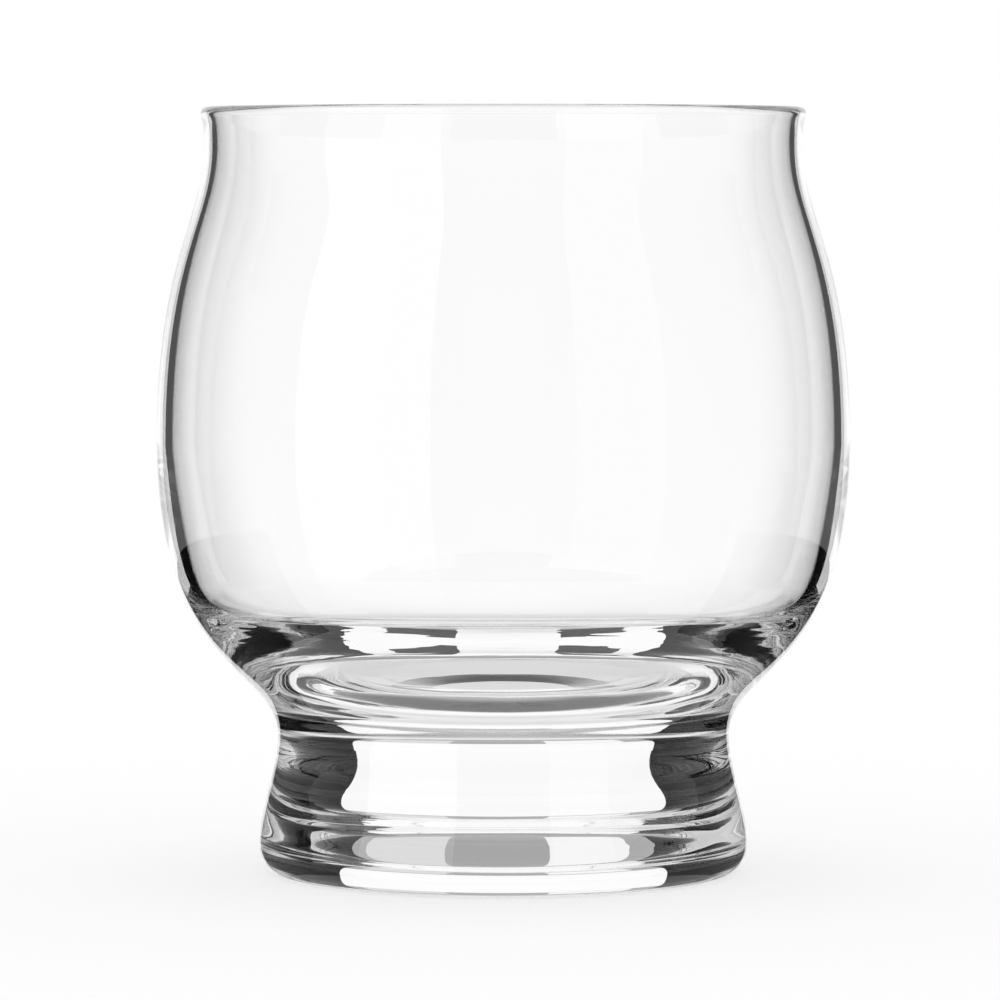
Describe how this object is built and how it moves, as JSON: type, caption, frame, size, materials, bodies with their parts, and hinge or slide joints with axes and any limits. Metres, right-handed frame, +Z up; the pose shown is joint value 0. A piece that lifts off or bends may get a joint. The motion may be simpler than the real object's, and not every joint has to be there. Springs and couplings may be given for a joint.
{
  "type": "whisky nosing glass",
  "caption": "Clear footed tasting glass: a round-bellied bowl that narrows to a slightly flared lip, on a heavy base and a short solid foot.",
  "frame": {"origin": "centre of the ring that the glass stands on, at the height of the table", "axes": "+Z up along the axis of revolution; X and Y are level and alike"},
  "size_m": [0.0826, 0.0826, 0.0913],
  "materials": {
    "bowl_glass": "clear colourless soda-lime glass, blown and fire-polished",
    "foot_glass": "clear colourless soda-lime glass, pressed and fire-polished"
  },
  "bodies": {
    "root": {"bowl": "bowl_glass", "foot": "foot_glass"}
  },
  "joints": []
}
